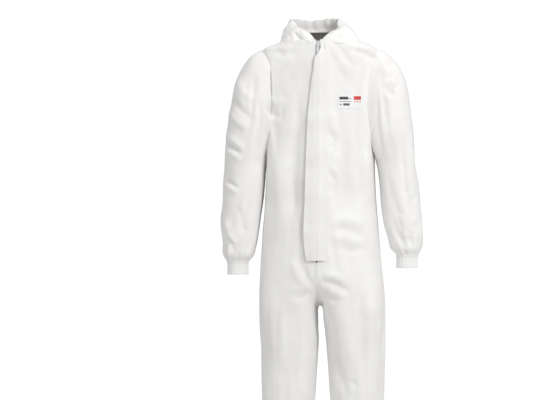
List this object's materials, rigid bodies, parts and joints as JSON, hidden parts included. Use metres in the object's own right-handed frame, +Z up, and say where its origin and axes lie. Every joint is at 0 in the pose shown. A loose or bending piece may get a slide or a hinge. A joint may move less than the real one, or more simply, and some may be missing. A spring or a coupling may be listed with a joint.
{
  "type": "chemical protective suit",
  "caption": "White hooded protective coverall with a front zip under a storm flap, knitted cuffs, elastic ankles and the hood folded back.",
  "frame": {"origin": "on the plane of the two leg hems, under the middle of the suit's box", "axes": "+Z up, the suit's front faces -Y, +X is the wearer's left"},
  "size_m": [0.6282, 0.3138, 1.5795],
  "materials": {
    "cloth": "matte",
    "knit": "matte",
    "elastic": "matte",
    "zip_tape": "matte",
    "zip_plastic": "satin",
    "zip_metal": "satin",
    "adhesive": "gloss",
    "liner": "satin",
    "badge": "matte",
    "label": "matte"
  },
  "bodies": {
    "torso": {"front_panel_right": "cloth", "front_panel_left": "cloth", "fly_seam": "cloth", "back_panel": "cloth", "seat_panel_right": "cloth", "seat_panel_left": "cloth", "right_upper_sleeve": "cloth", "left_upper_sleeve": "cloth", "right_thigh_front": "cloth", "right_thigh_back": "cloth", "left_thigh_front": "cloth", "left_thigh_back": "cloth", "crotch_gusset": "cloth", "neck_band": "cloth", "flap_seam_edge": "cloth", "right_elbow_sleeve": "cloth", "left_elbow_sleeve": "cloth", "right_knee_cloth": "cloth", "left_knee_cloth": "cloth", "hood_side_right": "cloth", "hood_side_left": "cloth", "zip_tape_right": "zip_tape", "zip_tape_left": "zip_tape", "zip_coil_right": "zip_plastic", "zip_coil_left": "zip_plastic", "zip_bottom_stop": "zip_plastic", "zip_top_stops": "zip_plastic", "waist_elastic": "elastic", "chest_badge": "badge", "neck_label": "label"},
    "right_forearm": {"right_lower_sleeve": "cloth", "right_cuff": "knit"},
    "left_forearm": {"left_lower_sleeve": "cloth", "left_cuff": "knit"},
    "right_shin": {"right_shin_cloth": "cloth", "right_hem": "cloth", "right_ankle_elastic": "elastic"},
    "left_shin": {"left_shin_cloth": "cloth", "left_hem": "cloth", "left_ankle_elastic": "elastic"},
    "hood": {"hood_right_panel": "cloth", "hood_centre_panel": "cloth", "hood_left_panel": "cloth", "hood_rim_elastic": "elastic"},
    "flap": {"storm_flap": "cloth", "flap_adhesive_tape": "adhesive", "tape_release_liner": "liner"},
    "slider": {"zip_slider": "zip_metal"},
    "pull": {"zip_pull_tab": "zip_metal"}
  },
  "joints": [
    {"name": "right_elbow", "type": "hinge", "parent": "torso", "child": "right_forearm", "pos_m": [-0.244, -0.06, 1.07], "axis": [-1, 0, 0], "range_deg": [0, 100], "deforming": ["right_elbow_sleeve"]},
    {"name": "left_elbow", "type": "hinge", "parent": "torso", "child": "left_forearm", "pos_m": [0.243, -0.048, 1.07], "axis": [-1, 0, 0], "range_deg": [0, 100], "deforming": ["left_elbow_sleeve"]},
    {"name": "right_knee", "type": "hinge", "parent": "torso", "child": "right_shin", "pos_m": [-0.103, 0.008, 0.43], "axis": [1, 0, 0], "range_deg": [0, 105], "deforming": ["right_knee_cloth"]},
    {"name": "left_knee", "type": "hinge", "parent": "torso", "child": "left_shin", "pos_m": [0.103, 0.008, 0.43], "axis": [1, 0, 0], "range_deg": [0, 105], "deforming": ["left_knee_cloth"]},
    {"name": "hood_lift", "type": "hinge", "parent": "torso", "child": "hood", "pos_m": [0, 0.052, 1.517], "axis": [1, 0, 0], "range_deg": [0, 95], "deforming": ["hood_side_right", "hood_side_left"]},
    {"name": "flap_turn", "type": "hinge", "parent": "torso", "child": "flap", "pos_m": [0.02, -0.15618, 0.84252], "axis": [0, 0.0639, 0.998], "range_deg": [0, 150]},
    {"name": "zip_slide", "type": "slide", "parent": "torso", "child": "slider", "axis": [0, -0.0639, -0.998], "range_m": [0, 0.63]},
    {"name": "pull_turn", "type": "hinge", "parent": "slider", "child": "pull", "pos_m": [0, -0.11117, 1.48931], "axis": [-1, 0, 0], "range_deg": [0, 120]}
  ]
}
